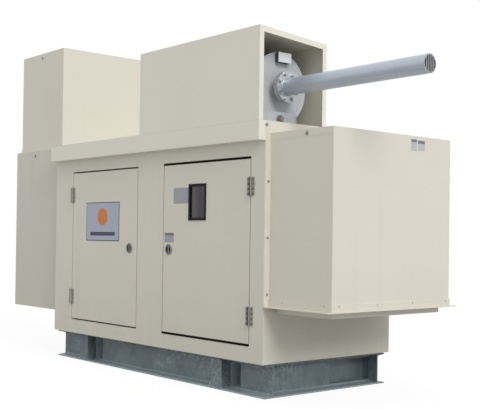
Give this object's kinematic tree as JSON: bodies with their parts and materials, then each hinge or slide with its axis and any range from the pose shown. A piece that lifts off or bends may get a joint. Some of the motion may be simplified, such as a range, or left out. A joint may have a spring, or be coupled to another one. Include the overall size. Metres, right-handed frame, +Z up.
{
  "type": "diesel generator set",
  "caption": "Sheet-steel enclosed diesel generator set on a channel base, with hinged doors, air hoods, hot air duct and roof silencer.",
  "frame": {"origin": "centre of the anchor bolt pattern, on the underside of the base", "axes": "+X towards the air inlet and exhaust end, -Y towards the door side, +Z up"},
  "size_m": [4.57, 1.39, 2.724],
  "materials": {
    "enclosure_paint": "satin",
    "galvanised_steel": "matte",
    "black_steel": "satin",
    "latch_chrome": "polished",
    "acoustic_lining": "matte",
    "smoked_glass": "gloss",
    "panel_grey": "satin",
    "engine_iron": "satin",
    "alternator_paint": "satin",
    "radiator_paint": "satin",
    "fan_paint": "satin"
  },
  "bodies": {
    "enclosure": {"base_frame": "galvanised_steel", "base_gussets": "galvanised_steel", "floor_plate": "galvanised_steel", "front_sill": "enclosure_paint", "front_header": "enclosure_paint", "front_post_left": "enclosure_paint", "front_post_mid": "enclosure_paint", "front_post_right": "enclosure_paint", "rear_wall": "enclosure_paint", "end_wall_right": "enclosure_paint", "end_wall_left": "enclosure_paint", "roof_plate": "enclosure_paint", "roof_fascia": "enclosure_paint", "inlet_hood": "enclosure_paint", "inlet_lip": "enclosure_paint", "inlet_collar": "enclosure_paint", "outlet_hood": "enclosure_paint", "hot_air_duct": "enclosure_paint", "duct_louvres": "enclosure_paint", "silencer_housing": "enclosure_paint", "silencer": "galvanised_steel", "silencer_feet": "galvanised_steel", "outlet_flanges": "galvanised_steel", "flange_bolts": "galvanised_steel", "tail_pipe": "galvanised_steel", "pipe_guard": "galvanised_steel", "exhaust_riser": "galvanised_steel", "fixed_hinges": "black_steel", "control_panel": "panel_grey", "bearers": "black_steel", "engine": "engine_iron", "alternator": "alternator_paint", "radiator": "radiator_paint", "cooling_fan": "fan_paint", "air_cleaner": "fan_paint"},
    "left_door": {"door_left": "enclosure_paint", "door_left_lining": "acoustic_lining", "door_left_latch": "latch_chrome", "door_left_hinges": "black_steel"},
    "right_door": {"door_right": "enclosure_paint", "door_right_lining": "acoustic_lining", "door_right_latch": "latch_chrome", "door_right_hinges": "black_steel", "window_frame": "black_steel", "window_glass": "smoked_glass"}
  },
  "joints": [
    {"name": "left_door_hinge", "type": "hinge", "parent": "enclosure", "child": "left_door", "pos_m": [-1.048, -0.6434, 0.963], "axis": [0, 0, -1], "range_deg": [0, 120]},
    {"name": "right_door_hinge", "type": "hinge", "parent": "enclosure", "child": "right_door", "pos_m": [1.193, -0.6434, 0.963], "axis": [0, 0, 1], "range_deg": [0, 120]}
  ]
}
